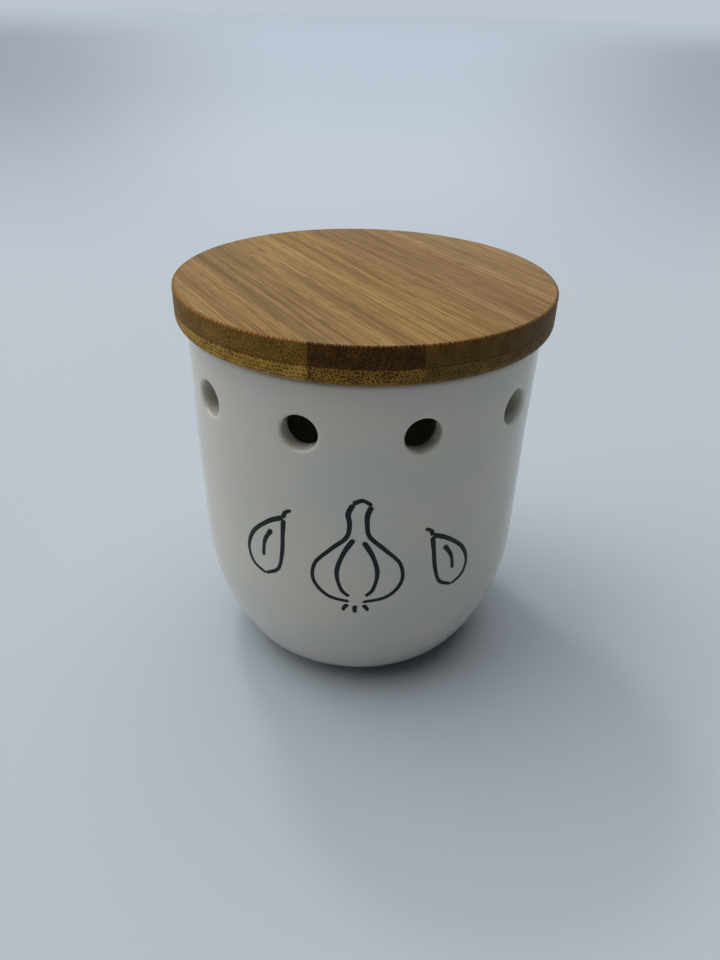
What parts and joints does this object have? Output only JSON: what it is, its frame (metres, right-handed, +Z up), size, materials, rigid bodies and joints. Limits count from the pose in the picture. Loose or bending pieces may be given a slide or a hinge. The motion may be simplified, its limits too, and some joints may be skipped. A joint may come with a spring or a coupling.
{
  "type": "garlic keeper",
  "caption": "Round vented ceramic jar with a flat two-ply bamboo lid that rests on the rim, centred by a plug with a soft ring, and lifts straight off.",
  "frame": {"origin": "centre of the foot ring's underside, on the surface the keeper stands on", "axes": "+Z up, along the jar's axis; the front in the picture faces -Y"},
  "size_m": [0.12, 0.12, 0.133],
  "materials": {
    "glaze": "gloss",
    "bamboo_light": "satin",
    "bamboo_mid": "satin",
    "bamboo_dark": "satin",
    "bamboo_plug": "satin",
    "silicone": "satin"
  },
  "bodies": {
    "jar": {"jar": "glaze"},
    "lid": {"lid_upper_strip_1": "bamboo_light", "lid_upper_strip_2": "bamboo_dark", "lid_upper_strip_3": "bamboo_light", "lid_upper_strip_4": "bamboo_mid", "lid_upper_strip_5": "bamboo_light", "lid_lower_strip_1": "bamboo_light", "lid_lower_strip_2": "bamboo_dark", "lid_lower_strip_3": "bamboo_light", "lid_lower_strip_4": "bamboo_mid", "lid_lower_strip_5": "bamboo_light", "lid_plug": "bamboo_plug", "seal_ring": "silicone"}
  },
  "joints": [
    {"name": "lid_lift", "type": "slide", "parent": "jar", "child": "lid", "axis": [0, 0, 1], "range_m": [0, 0.1]}
  ]
}
